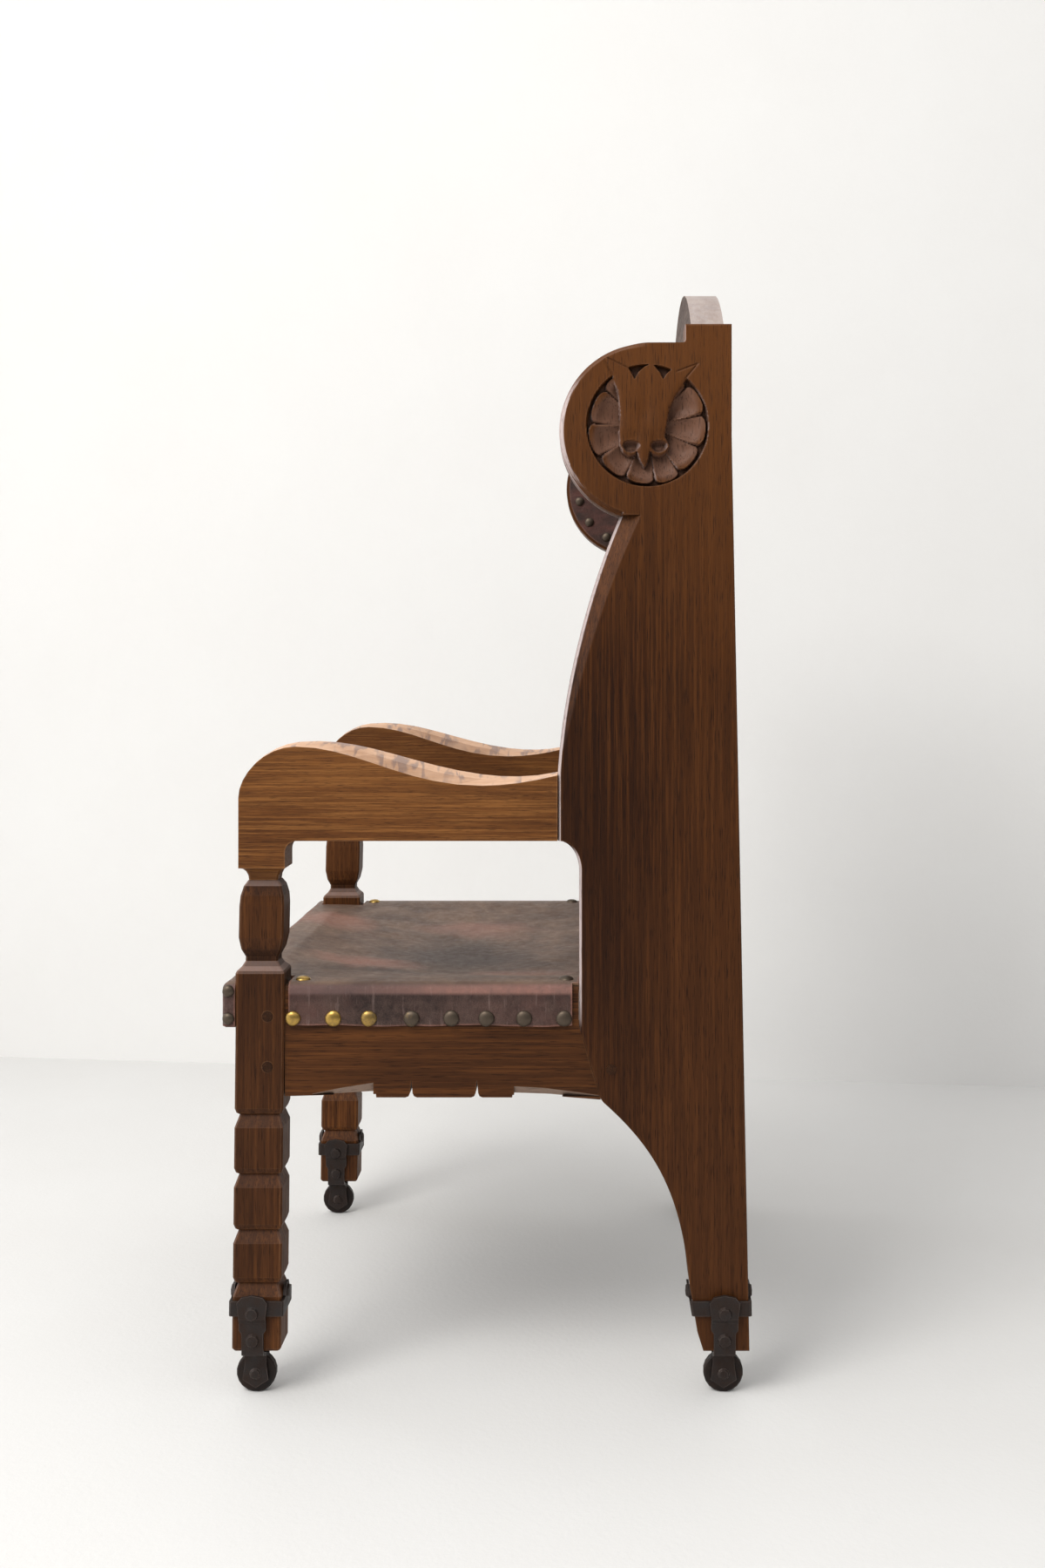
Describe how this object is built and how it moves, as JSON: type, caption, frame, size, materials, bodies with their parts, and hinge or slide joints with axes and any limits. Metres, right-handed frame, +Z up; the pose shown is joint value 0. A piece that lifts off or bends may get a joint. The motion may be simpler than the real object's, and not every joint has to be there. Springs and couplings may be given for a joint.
{
  "type": "throne armchair",
  "caption": "High-backed carved oak throne armchair with winged sides, sagging leather seat, brass studs and small iron casters.",
  "frame": {"origin": "middle of the footprint's bounding box, on the floor", "axes": "+Z up, -Y the way the chair faces, +X the sitter's left"},
  "size_m": [0.6614, 0.6164, 1.3327],
  "materials": {
    "oak_dark": "worn waxed",
    "oak_light": "worn waxed",
    "seat_hide": "worn",
    "back_hide": "worn",
    "iron": "dark, hand-forged",
    "wheel_iron": "dark, worn",
    "peg_oak": "dark"
  },
  "bodies": {
    "root": {"side_panel_left": "oak_dark", "side_panel_right": "oak_dark", "crest_board": "oak_dark", "back_board": "oak_dark", "back_rail": "oak_dark", "front_leg_left": "oak_dark", "front_leg_right": "oak_dark", "side_rail_left": "oak_dark", "side_rail_right": "oak_dark", "front_rail": "oak_dark", "rear_rail": "oak_dark", "arm_left": "oak_light", "arm_right": "oak_light", "seat_leather": "seat_hide", "back_leather": "back_hide", "wing_leather_left": "back_hide", "wing_leather_right": "back_hide", "front_band_left": "iron", "front_band_right": "iron", "front_strap_outer_left": "iron", "front_strap_outer_right": "iron", "front_strap_inner_left": "iron", "front_strap_inner_right": "iron", "front_axle_left": "iron", "front_axle_right": "iron", "rear_band_left": "iron", "rear_band_right": "iron", "rear_strap_outer_left": "iron", "rear_strap_outer_right": "iron", "rear_strap_inner_left": "iron", "rear_strap_inner_right": "iron", "rear_axle_left": "iron", "rear_axle_right": "iron", "leg_peg_upper_left": "peg_oak", "leg_peg_upper_right": "peg_oak", "leg_peg_lower_left": "peg_oak", "leg_peg_lower_right": "peg_oak", "panel_peg_left": "peg_oak", "panel_peg_right": "peg_oak"},
    "front_wheel_left": {"front_wheel_left": "wheel_iron"},
    "front_wheel_right": {"front_wheel_right": "wheel_iron"},
    "rear_wheel_left": {"rear_wheel_left": "wheel_iron"},
    "rear_wheel_right": {"rear_wheel_right": "wheel_iron"}
  },
  "joints": [
    {"name": "front_left_roll", "type": "hinge", "parent": "root", "child": "front_wheel_left", "pos_m": [0.297, -0.2672, 0.02272], "axis": [1, 0, 0], "continuous": true},
    {"name": "front_right_roll", "type": "hinge", "parent": "root", "child": "front_wheel_right", "pos_m": [-0.297, -0.2672, 0.02272], "axis": [1, 0, 0], "continuous": true},
    {"name": "rear_left_roll", "type": "hinge", "parent": "root", "child": "rear_wheel_left", "pos_m": [0.2975, 0.2743, 0.02272], "axis": [1, 0, 0], "continuous": true},
    {"name": "rear_right_roll", "type": "hinge", "parent": "root", "child": "rear_wheel_right", "pos_m": [-0.2975, 0.2743, 0.02272], "axis": [1, 0, 0], "continuous": true}
  ]
}
